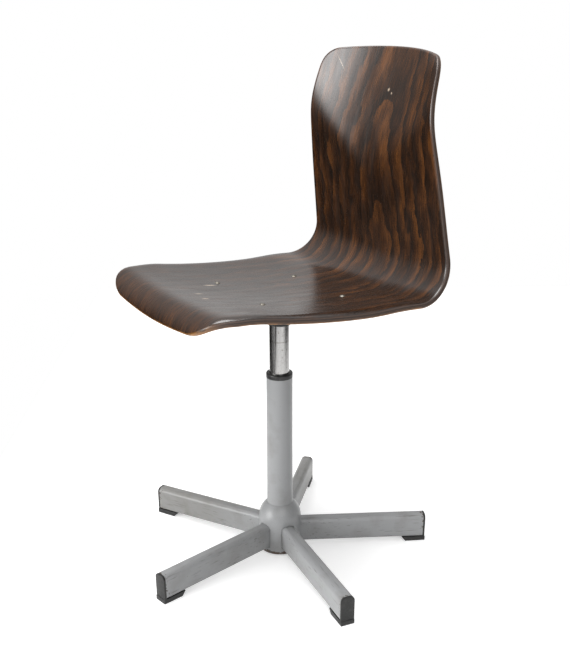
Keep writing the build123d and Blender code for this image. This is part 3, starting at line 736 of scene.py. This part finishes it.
def grey_enamel(colours):
    """Stoved enamel on steel: a slight orange peel, grime in patches, painted shade on two legs, scuffs
    along it, rusty ends.
    """
    material, tree, shader = start_finish("grey_enamel_on_steel")
    place = add_node(tree, "TexCoord").outputs["Object"]
    x, y, z = add_node(tree, "SeparateXYZ", {"Vector": place}).outputs
    grime = add_node(tree, "TexNoise", {"Vector": place, "Scale": per_metre(45), "Detail": 5.0})
    grime_share = add_node(
        tree, "MapRange", {"Value": grime, "From Min": 0.48, "From Max": 0.8, "To Max": 0.55}
    )

    # Painted shade on the two legs of the sitter's right, which the key light lights too brightly, with
    # some dirt where shoes rest on them
    shaded_and_trodden = add_node(
        tree, "MapRange", {"Value": x, "From Min": -0.04, "From Max": -0.14, "To Max": 0.6}
    )
    dirt_and_shade = add_node(tree, "Math", {0: grime_share, 1: shaded_and_trodden}, operation="ADD", use_clamp=True)
    dirty_and_shaded = add_node(
        tree, "Mix", {0: dirt_and_shade, 6: colours.enamel, 7: colours.enamel_grime_and_shade}, data_type="RGBA"
    )

    # Scuffs along the legs, about 50 mm long and 3.5 mm high: long in the distance out from the axis
    flat = add_node(tree, "VectorMath", {0: place, 1: (1.0, 1.0, 0.0)}, operation="MULTIPLY")
    out = add_node(tree, "VectorMath", {0: flat}, operation="LENGTH").outputs["Value"]
    bearing = add_node(tree, "Math", {0: y, 1: x}, operation="ARCTAN2")
    polar = add_node(tree, "CombineXYZ", {"X": out, "Y": bearing, "Z": z})
    scuffs_per_radian = 50.0
    scuff_scale = (per_metre(50), scuffs_per_radian, per_metre(3.5))
    scuff_place = add_node(tree, "Mapping", {"Vector": polar, "Scale": scuff_scale})
    scuffs = add_node(
        tree, "TexNoise", {"Vector": scuff_place, "Scale": 1.0, "Detail": 4.0, "Roughness": 0.6}
    )
    scuffed = add_node(
        tree, "MapRange", {"Value": scuffs, "From Min": 0.58, "From Max": 0.76, "To Max": 0.75}
    )

    # The outer tube stays clean: only what lies beyond it is scuffed
    beyond = add_node(tree, "MapRange", {"Value": out, "From Min": 0.026, "From Max": 0.05})
    scuff_share = add_node(tree, "Math", {0: scuffed, 1: beyond}, operation="MULTIPLY")
    scuffed_paint = add_node(
        tree, "Mix", {0: scuff_share, 6: dirty_and_shaded.outputs[2], 7: colours.chipped_steel}, data_type="RGBA"
    )

    # Chips a few millimetres across at the ends of the legs. The hub's lower rim, up to about 12 mm
    # high, is darker all round, in the colours of bare steel and rust
    at_end = add_node(
        tree, "MapRange", {"Value": out, "From Min": 0.272, "From Max": 0.286, "To Max": 0.2}
    )
    at_rim = add_node(
        tree, "MapRange", {"Value": z, "From Min": 0.012, "From Max": 0.007, "To Max": 0.34}
    )
    chips = add_node(
        tree, "TexNoise", {"Vector": place, "Scale": per_metre(5), "Detail": 4.0, "Roughness": 0.6}
    )
    more = add_node(tree, "Math", {0: at_end, 1: at_rim}, operation="ADD")
    chip_sum = add_node(tree, "Math", {0: chips, 1: more}, operation="ADD")
    chipped = add_node(tree, "MapRange", {"Value": chip_sum, "From Min": 0.72, "From Max": 0.78})
    rusting = add_node(tree, "TexNoise", {"Vector": place, "Scale": per_metre(12), "Detail": 3.0})
    rust_share = add_node(tree, "MapRange", {"Value": rusting, "From Min": 0.42, "From Max": 0.6})
    under_paint = add_node(
        tree, "Mix", {0: rust_share, 6: colours.chipped_steel, 7: colours.rust}, data_type="RGBA"
    )
    finished = add_node(
        tree, "Mix", {0: chipped, 6: scuffed_paint.outputs[2], 7: under_paint.outputs[2]},
        data_type="RGBA",
    )
    dullness = add_node(
        tree, "MapRange",
        {"Value": chip_sum, "From Min": 0.3, "From Max": 0.9, "To Min": 0.28, "To Max": 0.46},
    )

    # Orange peel, drawn 3 mm wide so that it shows
    peel = add_node(tree, "TexNoise", {"Vector": place, "Scale": per_metre(3), "Detail": 2.0})
    dent = add_node(tree, "Math", {0: chipped, 1: -0.6, 2: peel}, operation="MULTIPLY_ADD")
    skin = add_node(tree, "Bump", {"Strength": 0.05, "Distance": 0.0005, "Height": dent})
    set_inputs(
        shader, {"Base Color": finished.outputs[2], "Roughness": dullness, "Normal": skin}
    )
    return material


def chromed_tube(colours):
    """Chromed steel tube: bright, finely scratched along its length, with rust specks and one ring."""
    material, tree, shader = start_finish("chromed_steel_tube")
    place = add_node(tree, "TexCoord").outputs["Object"]
    _, _, height = add_node(tree, "SeparateXYZ", {"Vector": place}).outputs
    scratch_place = add_node(tree, "Mapping", {"Vector": place, "Scale": per_metre(2, 2, 60)})
    scratches = add_node(tree, "TexNoise", {"Vector": scratch_place, "Scale": 1.0, "Detail": 4.0})
    dullness = add_node(
        tree, "MapRange",
        {"Value": scratches, "From Min": 0.3, "From Max": 0.7, "To Min": 0.14, "To Max": 0.3},
    )
    specks = add_node(
        tree, "TexNoise", {"Vector": place, "Scale": per_metre(3.2), "Detail": 3.0, "Roughness": 0.6}
    )
    rusted = add_node(
        tree, "MapRange", {"Value": specks, "From Min": 0.61, "From Max": 0.72, "To Max": 0.75}
    )

    # The ring that a long stay at one height has left on the tube, about a millimetre wide
    ring_height = 0.433
    from_ring = add_node(tree, "Math", {0: height, 1: ring_height}, operation="SUBTRACT")
    off_ring = add_node(tree, "Math", {0: from_ring}, operation="ABSOLUTE")
    ringed = add_node(
        tree, "MapRange",
        {"Value": off_ring, "From Min": 0.0004, "From Max": 0.0012, "To Min": 0.45, "To Max": 0.0},
    )
    marked = add_node(tree, "Math", {0: rusted, 1: ringed}, operation="MAXIMUM")
    finished = add_node(
        tree, "Mix", {0: marked, 6: colours.chrome, 7: colours.rust}, data_type="RGBA"
    )
    set_inputs(
        shader, {"Base Color": finished.outputs[2], "Metallic": 1.0, "Roughness": dullness}
    )
    return material


def plain_finish(
    name, colour, worn_colour, grain, worn_from, metallic=0.0, roughness=0.5, bump=0.1
):
    """A moulded or plated finish: a grain of a size in millimetres, a second colour where worn."""
    material, tree, shader = start_finish(name)
    place = add_node(tree, "TexCoord").outputs["Object"]
    fine = add_node(tree, "TexNoise", {"Vector": place, "Scale": per_metre(grain), "Detail": 3.0})
    wear = add_node(
        tree, "TexNoise", {"Vector": place, "Scale": per_metre(6 * grain), "Detail": 5.0}
    )
    worn = add_node(
        tree, "MapRange", {"Value": wear, "From Min": worn_from, "From Max": worn_from + 0.2}
    )
    finished = add_node(tree, "Mix", {0: worn, 6: colour, 7: worn_colour}, data_type="RGBA")
    dullness = add_node(
        tree, "MapRange",
        {
            "Value": fine,
            "From Min": 0.3,
            "From Max": 0.7,
            "To Min": roughness - 0.08,
            "To Max": roughness + 0.12,
        },
    )
    skin = add_node(tree, "Bump", {"Strength": bump, "Distance": 0.0004, "Height": fine})
    set_inputs(
        shader,
        {
            "Base Color": finished.outputs[2],
            "Metallic": metallic,
            "Roughness": dullness,
            "Normal": skin,
        },
    )
    return material


class CHAIR_OT_shell(bpy.types.Operator):
    """Press the plywood shell from a flat sheet and round its edge all round"""

    bl_idname = "chair.shell"
    bl_label = "Plywood Shell"

    # Depth of the slab before it is pressed
    slab = 1.0

    # Columns stand closer together towards the sides, where the sheet turns down
    crowding = 0.3

    # Bare wood at each step of the rounded edge, from the sitter's side down: all over the front
    # lip, and at the lower arris of the sides
    lip_wear = [0, 0.45, 1, 1, 1, 0.8, 0.3, 0]
    side_wear = [0, 0, 0, 0, 0.1, 0.6, 1, 0.5]

    # How closely the wear of the lip keeps to the edge that faces the front
    lip_focus = 4

    # How much of the wear of the sides the back has
    back_share = 0.4

    def execute(self, context):
        sizes = context.scene.chair_shell
        form = ShellForm(sizes)
        thickness, radius = sizes.thickness, sizes.edge_round

        # The right-hand outline from the front edge to the top edge, a point for each row of the sheet
        front, bow = form.front_side()
        top, crown_centre, crown = form.top_side()
        low, high = front[-1].y, top[0].y
        count = round((high - low) / sizes.row_length)
        middle = [low + (high - low) * step / count for step in range(1, count)]
        outline = front + [Vector((form.half_width(along), along)) for along in middle] + top
        rows = len(outline)

        # Which way the outline faces at each row, and the row's end a rounding inside it
        facing = [form.front_way(*outline[0], bow)]
        for before, after in zip(outline, outline[2:]):
            run = after - before
            facing.append(Vector((run.y, -run.x)).normalized())
        facing.append((outline[-1] - crown_centre).normalized())
        inside = [point - radius * way for point, way in zip(outline, facing)]

        # How the rounded edge leaves the face: outwards, and down into the sheet
        turns = [math.radians(angle) for angle in (30, 60, 90)]
        upper = [(radius * math.sin(turn), radius * (1 - math.cos(turn))) for turn in turns]
        lower = [(out, thickness - down) for out, down in reversed(upper)]
        rim = [(0.0, 0.0)] + upper + lower + [(0.0, thickness)]

        # A flat sheet, drawn down to a slab whose walls are cut into the steps of the rounded edge
        pick(None)
        bpy.ops.mesh.primitive_grid_add(
            x_subdivisions=sizes.columns, y_subdivisions=rows - 1, size=2
        )
        piece = context.object
        if len(piece.data.vertices) != (sizes.columns + 1) * rows:
            raise RuntimeError("the flat sheet doesn't have the rows that the outline needs")
        edit_all()
        bpy.ops.mesh.extrude_region_move(TRANSFORM_OT_translate={"value": (0, 0, -self.slab)})

        def in_wall(edge):
            start, end = edge.verts
            return abs(start.co.z - end.co.z) > self.slab / 2

        pick_parts(piece, "edges", in_wall)
        bpy.ops.mesh.subdivide(number_cuts=len(rim) - 2)
        bpy.ops.object.mode_set(mode="OBJECT")

        # Pressed: each place on the slab goes to its place in the form, and remembers where on the
        # sheet it is and how far its edge is worn
        for name, kind in (("sheet", "FLOAT_VECTOR"), ("wear", "FLOAT")):
            piece.data.attributes.new(name, kind, "POINT")
        sheet, wear = piece.data.attributes["sheet"], piece.data.attributes["wear"]

        def bowed(reach, x, end_x):
            return math.sqrt(reach ** 2 - x ** 2) - math.sqrt(reach ** 2 - end_x ** 2)

        for vertex, memory, worn in zip(piece.data.vertices, sheet.data, wear.data):
            flat = vertex.co.copy()
            column = round((flat.x + 1) / 2 * sizes.columns)
            row = round((flat.y + 1) / 2 * (rows - 1))
            ring = round(-flat.z / self.slab * (len(rim) - 1))
            out, depth = rim[ring]
            end = inside[row]
            x = end.x * ((1 + self.crowding) * flat.x - self.crowding * flat.x ** 3)
            along = end.y
            bowing = 1 - row / (len(front) - 1)
            crowning = 1 - (rows - 1 - row) / (len(top) - 1)
            if bowing > 0:
                past, _ = form.past_front(along)
                along = form.behind_front(past - bowing * bowed(bow - radius, x, end.x))
            elif crowning > 0:
                along += crowning * bowed(crown - radius, x, end.x)
            way = Vector((0, 0))
            if column in (0, sizes.columns):
                way = Vector((math.copysign(facing[row].x, flat.x), facing[row].y))
            elif row == 0:
                way = form.front_way(x, along, bow)
            elif row == rows - 1:
                way = Vector((x, along - crown_centre.y)).normalized()
            x += way.x * out
            along += way.y * out
            vertex.co = form.place(x, along, depth)
            memory.vector = (x, along, depth)
            in_seat = along < form.seat_end
            lip = max(-way.y, 0.0) ** self.lip_focus if in_seat else 0.0
            side = (1 - lip) * (self.back_share if along > form.seat_end else 1)
            edge_wear = lip * self.lip_wear[ring] + side * self.side_wear[ring]
            worn.value = edge_wear if way.length else 0.0
        turn_outwards(piece)
        bpy.ops.object.shade_smooth()
        material = stained_beech_plywood(context.scene.chair_colours, sizes)
        settle(piece, "pressed_shell", material, "seat", ["seat_shell"])
        return {"FINISHED"}


class CHAIR_OT_bolts(bpy.types.Operator):
    """Turn one domed seat bolt and set a copy at each of the four places"""

    bl_idname = "chair.bolts"
    bl_label = "Seat Bolts"

    # A face whose normal points lower than this looks down
    downwards = -0.9

    def execute(self, context):
        sizes = context.scene.chair_shell
        colours = context.scene.chair_colours
        form = ShellForm(sizes)
        y, z, slope = form.centre_line(form.on_axis)
        across = Vector((1, 0, 0))
        along = Vector((0, math.cos(slope), math.sin(slope)))
        up = Vector((0, -math.sin(slope), math.cos(slope)))
        turn = Matrix((across, along, up)).transposed().to_4x4()
        plate_top = Vector((0, y, z)) - up * (sizes.thickness + sizes.plate_gap)

        # Where each head sits, and how far that is above the seat plate
        places = []
        for side_y in (-1, 1):
            for side_x in (-1, 1):
                spot_x = side_x * sizes.bolt_spacing_x / 2
                spot_y = side_y * sizes.bolt_spacing_y / 2
                on_seat = form.place(spot_x, form.on_axis + spot_y, 0)
                seat = (on_seat - plate_top).dot(up) - sizes.bolt_sunk
                foot = plate_top + across * spot_x + along * spot_y + up * seat
                places.append((Matrix.Translation(foot) @ turn, seat))

        # A dome cut from a ball, drawn in under its rim and out again as the shank
        radius, height = sizes.bolt_head_diameter / 2, sizes.bolt_head_height
        ball = (radius ** 2 + height ** 2) / (2 * height)
        pick(None)
        bpy.ops.mesh.primitive_uv_sphere_add(
            segments=32, ring_count=48, radius=ball, location=(0, 0, height - ball)
        )
        model = context.object
        bpy.ops.object.transform_apply(location=True, rotation=True, scale=True)
        edit_all()
        bpy.ops.mesh.bisect(
            plane_co=(0, 0, 0), plane_no=(0, 0, 1), use_fill=True, clear_inner=True
        )

        def under_head(face):
            low = face.calc_center_median().z < weld_distance
            return low and face.normal.z < self.downwards

        pick_parts(model, "faces", under_head)
        bpy.ops.mesh.inset(thickness=radius - sizes.bolt_diameter / 2)
        bpy.ops.mesh.extrude_region_move(TRANSFORM_OT_translate={"value": (0, 0, -places[0][1])})
        bpy.ops.object.mode_set(mode="OBJECT")
        bpy.ops.object.shade_smooth_by_angle(angle=curve_angle)
        shank_end = min(vertex.co.z for vertex in model.data.vertices)
        material = plain_finish(
            "dull_zinc_plated_bolt", colours.zinc_dull, colours.zinc,
            grain=1.2, worn_from=0.6, metallic=1.0, roughness=0.5, bump=0.05,
        )
        for index, (place, seat) in enumerate(places):
            piece = bpy.data.objects.new("seat_bolt", model.data.copy())
            context.scene.collection.objects.link(piece)
            for vertex in piece.data.vertices:
                if vertex.co.z < shank_end / 2:
                    vertex.co.z = -seat - sizes.plate_thickness - sizes.bolt_below_plate
            piece.data.transform(place)
            settle(piece, f"seat_bolt_{index + 1}", material, "seat", ["seat_bolts"])
        bpy.data.objects.remove(model)
        return {"FINISHED"}


class CHAIR_OT_star(bpy.types.Operator):
    """Paint the legs, hub cover and outer tube, and ease the edges of the cover"""

    bl_idname = "chair.star"
    bl_label = "Painted Star and Column"

    def execute(self, context):
        material = grey_enamel(context.scene.chair_colours)
        dress(material, slot_nodes["grey_paint"])
        ease_edges(["hub_cover"], material, width=0.0007)
        return {"FINISHED"}


class CHAIR_OT_feet(bpy.types.Operator):
    """Mould the five feet with eased edges"""

    bl_idname = "chair.feet"
    bl_label = "Plastic Feet"

    def execute(self, context):
        colours = context.scene.chair_colours
        material = plain_finish(
            "moulded_polypropylene_foot", colours.foot_plastic, colours.foot_worn,
            grain=3, worn_from=0.55, roughness=0.5, bump=0.2,
        )
        ease_edges(slot_nodes["foot_plastic"], material, width=0.0012)
        return {"FINISHED"}


class CHAIR_OT_column(bpy.types.Operator):
    """Finish the bright tube, the rod, and the plastic bush, slider and grip"""

    bl_idname = "chair.column"
    bl_label = "Bright Tube and Bush"

    def execute(self, context):
        colours = context.scene.chair_colours
        dress(chromed_tube(colours), slot_nodes["bright_steel"])
        material = plain_finish(
            "moulded_acetal", colours.bush_plastic, colours.bush_worn,
            grain=1.2, worn_from=0.5, roughness=0.38, bump=0.12,
        )
        dress(material, slot_nodes["bush_plastic"])
        return {"FINISHED"}


class CHAIR_OT_carrier(bpy.types.Operator):
    """Finish the steel under the seat: plate, socket, bracket, lever, nuts and rubber pads"""

    bl_idname = "chair.carrier"
    bl_label = "Seat Carrier and Lever"

    def execute(self, context):
        colours = context.scene.chair_colours
        paint = plain_finish(
            "black_enamel_on_steel", colours.black_enamel, colours.black_dusty,
            grain=3, worn_from=0.5, roughness=0.45, bump=0.12,
        )
        dress(paint, slot_nodes["black_steel"])
        ease_edges(["seat_plate", "lever_bracket"], paint, width=0.0007)
        plating = plain_finish(
            "zinc_plated_steel", colours.zinc, colours.zinc_dull,
            grain=1.2, worn_from=0.5, metallic=1.0, roughness=0.36, bump=0.06,
        )
        dress(plating, [node for node in slot_nodes["zinc_steel"] if node != "seat_bolts"])
        ease_edges(["seat_nuts"], plating, width=0.0005)
        rubber = plain_finish(
            "black_rubber_pad", colours.pad_rubber, colours.pad_chalk,
            grain=1.5, worn_from=0.5, roughness=0.72, bump=0.2,
        )
        dress(rubber, slot_nodes["pad_rubber"])
        return {"FINISHED"}


class CHAIR_OT_spring(bpy.types.Operator):
    """Finish the pieces inside the column: gas spring and swivel bearing"""

    bl_idname = "chair.spring"
    bl_label = "Gas Spring and Bearing"

    def execute(self, context):
        colours = context.scene.chair_colours

        # Finish, slot and colour, then grain in millimetres, start of the oil, metallic, roughness
        finishes = [
            ("oiled_turned_steel", "spring_inner", colours.spring_steel, 1.5, 0.48, 1.0, 0.4),
            ("ground_bearing_steel", "bearing_steel", colours.bearing_steel, 1.0, 0.6, 1.0, 0.24),
            ("moulded_nylon_cage", "cage_plastic", colours.cage_plastic, 1.0, 0.58, 0.0, 0.48),
        ]
        for name, slot, colour, *values in finishes:
            dress(plain_finish(name, colour, colours.oil_film, *values), slot_nodes[slot])
        return {"FINISHED"}


def direct_rays(tree):
    """The kinds of ray in a tree, and a node that tells which see things straight or through glass."""
    rays = add_node(tree, "LightPath").outputs
    direct = add_node(
        tree, "Math", {0: rays["Is Camera Ray"], 1: rays["Is Transmission Ray"]},
        operation="MAXIMUM",
    )
    return rays, direct


class CHAIR_OT_stage(bpy.types.Operator):
    """Set up the pale floor, the soft studio light and the camera"""

    bl_idname = "chair.stage"
    bl_label = "Studio"

    def execute(self, context):
        stage = context.scene.chair_stage
        self.lay_paper(context, stage)
        self.light_world(context, stage)

        # A large softbox overhead and a fill from the sitter's left: name, place, aim, size, power
        softboxes = [
            ("top_softbox", (-0.2, -0.2, 2.3), (0, 0, 0), 1.6, stage.top_power),
            ("fill_softbox", (1.7, -0.5, 1.3), (0, 0, 0.2), 1.0, stage.fill_power),
        ]
        for name, place, aim, size, power in softboxes:
            bpy.ops.object.light_add(type="AREA", location=place)
            lamp = context.object
            lamp.name = name
            lamp.rotation_euler = (Vector(aim) - Vector(place)).to_track_quat("-Z", "Y").to_euler()
            lamp.data.shape = "DISK"
            lamp.data.size = size
            lamp.data.energy = power

        place, aim = Vector(stage.camera_place), Vector(stage.camera_aim)
        bpy.ops.object.camera_add(location=place)
        camera = context.object
        camera.name = "photo_camera"
        look = (aim - place).to_track_quat("-Z", "Y").to_matrix()
        camera.rotation_euler = (look @ Matrix.Rotation(stage.camera_roll, 3, "Z")).to_euler()
        camera.data.lens = stage.lens
        camera.data.shift_x, camera.data.shift_y = stage.shift
        camera.data.dof.use_dof = False
        context.scene.camera = camera
        context.scene.view_settings.view_transform = "Standard"
        return {"FINISHED"}

    def lay_paper(self, context, stage):
        """Matt white paper, burnt out to white round the chair, which keeps the chair's soft shadow."""
        pick(None)
        bpy.ops.mesh.primitive_plane_add(size=1)
        floor = context.object
        floor.name = "studio_floor"
        facing = Vector(stage.camera_place).to_2d().normalized()
        sideways = Vector((-facing.y, facing.x))
        for vertex in floor.data.vertices:
            across = stage.paper_right if vertex.co.x > 0 else -stage.paper_left
            along = math.copysign(stage.paper_length / 2, vertex.co.y)
            spot = sideways * across + facing * along
            vertex.co = (spot.x, spot.y, 0)
        turn_outwards(floor)
        material, tree, shader = start_finish("white_paper_floor")
        rays, direct = direct_rays(tree)
        seen = add_node(tree, "Math", {0: direct, 1: rays["Is Glossy Ray"]}, operation="MAXIMUM")
        burnt = add_node(tree, "Math", {0: seen, 1: stage.floor_burn}, operation="MULTIPLY")
        set_inputs(
            shader,
            {
                "Base Color": stage.floor_colour,
                "Roughness": 0.9,
                "Specular IOR Level": 0.1,
                "Emission Color": white,
                "Emission Strength": burnt,
            },
        )
        floor.data.materials.append(material)

    def light_world(self, context, stage):
        """White for the camera. As a light and in reflections it is bright overhead and dark near the
        floor, with the lit backdrop behind the chair and a large soft key light in front of it."""
        world = context.scene.world or bpy.data.worlds.new("studio")
        context.scene.world = world
        world.use_nodes = True
        tree = world.node_tree
        tree.nodes.clear()
        around = add_node(tree, "TexCoord").outputs["Generated"]
        _, _, z = add_node(tree, "SeparateXYZ", {"Vector": around}).outputs
        height = add_node(tree, "MapRange", {"Value": z, "From Min": -1.0})
        shade = add_node(
            tree, "ValToRGB", {"Fac": height},
            stops=[(0.45, grey(0.01)), (0.54, grey(0.13)), (0.7, grey(0.45)), (1.0, white)],
        )

        # The backdrop ends at the floor
        to_backdrop = add_node(
            tree, "VectorMath", {0: around, 1: stage.backdrop_way}, operation="DOT_PRODUCT"
        )
        backdrop_glow = add_node(
            tree, "MapRange",
            {
                "Value": to_backdrop.outputs["Value"],
                "From Min": 0.6,
                "From Max": 0.88,
                "To Max": stage.backdrop_light,
            },
            interpolation_type="SMOOTHSTEP",
        )
        above_floor = add_node(tree, "MapRange", {"Value": z, "From Min": -0.2, "From Max": -0.02})
        backdrop_seen = add_node(
            tree, "Math", {0: backdrop_glow, 1: above_floor}, operation="MULTIPLY"
        )

        # The key light has a bright middle and falls off softly
        to_key = add_node(
            tree, "VectorMath", {0: around, 1: stage.key_way}, operation="DOT_PRODUCT"
        )
        key_fall = add_node(
            tree, "ValToRGB", {"Fac": to_key.outputs["Value"]},
            stops=[
                (0.2, black),
                (0.69, grey(0.004)),
                (0.86, grey(0.02)),
                (0.93, grey(0.16)),
                (0.975, grey(0.8)),
                (1.0, white),
            ],
        )
        key_glow = add_node(tree, "Math", {0: key_fall, 1: stage.key_light}, operation="MULTIPLY")
        lit = add_node(tree, "Math", {0: shade, 1: backdrop_seen}, operation="MAXIMUM")
        lit_by_key = add_node(tree, "Math", {0: lit, 1: key_glow}, operation="ADD")
        sky = add_node(tree, "Background", {"Color": lit_by_key, "Strength": stage.sky_light})
        backdrop = add_node(tree, "Background", {"Color": white, "Strength": 1.0})
        rays, direct = direct_rays(tree)
        mirrored = add_node(
            tree, "Math", {0: rays["Is Glossy Ray"], 1: backdrop_seen}, operation="MULTIPLY"
        )
        seen = add_node(tree, "Math", {0: direct, 1: mirrored}, operation="MAXIMUM")
        both = add_node(tree, "MixShader", {0: seen, 1: sky, 2: backdrop})
        add_node(tree, "OutputWorld", {"Surface": both})


class CHAIR_PT_panel(bpy.types.Panel):
    """Lists the chair's pieces, sizes and colours"""

    bl_label = "Swivel Chair"
    bl_idname = "CHAIR_PT_panel"
    bl_space_type = "VIEW_3D"
    bl_region_type = "UI"
    bl_category = "Chair"

    def draw(self, context):
        scene = context.scene
        for operator in operators:
            self.layout.operator(operator.bl_idname)
        for group in (scene.chair_shell, scene.chair_colours, scene.chair_stage):
            box = self.layout.box()
            for name in group.__annotations__:
                box.prop(group, name)


operators = [
    CHAIR_OT_shell, CHAIR_OT_bolts, CHAIR_OT_star, CHAIR_OT_feet,
    CHAIR_OT_column, CHAIR_OT_carrier, CHAIR_OT_spring, CHAIR_OT_stage,
]
groups = [ChairShellSizes, ChairColours, ChairStageSizes]


def register():
    for each in (*groups, *operators, CHAIR_PT_panel):
        bpy.utils.register_class(each)
    bpy.types.Scene.chair_shell = PointerProperty(type=ChairShellSizes)
    bpy.types.Scene.chair_colours = PointerProperty(type=ChairColours)
    bpy.types.Scene.chair_stage = PointerProperty(type=ChairStageSizes)


def unregister():
    del bpy.types.Scene.chair_stage
    del bpy.types.Scene.chair_colours
    del bpy.types.Scene.chair_shell
    for each in (CHAIR_PT_panel, *reversed(operators), *reversed(groups)):
        bpy.utils.unregister_class(each)


def main():
    """Model and finish every piece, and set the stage."""
    register()
    bpy.ops.chair.shell()
    bpy.ops.chair.bolts()
    bpy.ops.chair.star()
    bpy.ops.chair.feet()
    bpy.ops.chair.column()
    bpy.ops.chair.carrier()
    bpy.ops.chair.spring()
    bpy.ops.chair.stage()


if __name__ == "__main__":
    main()
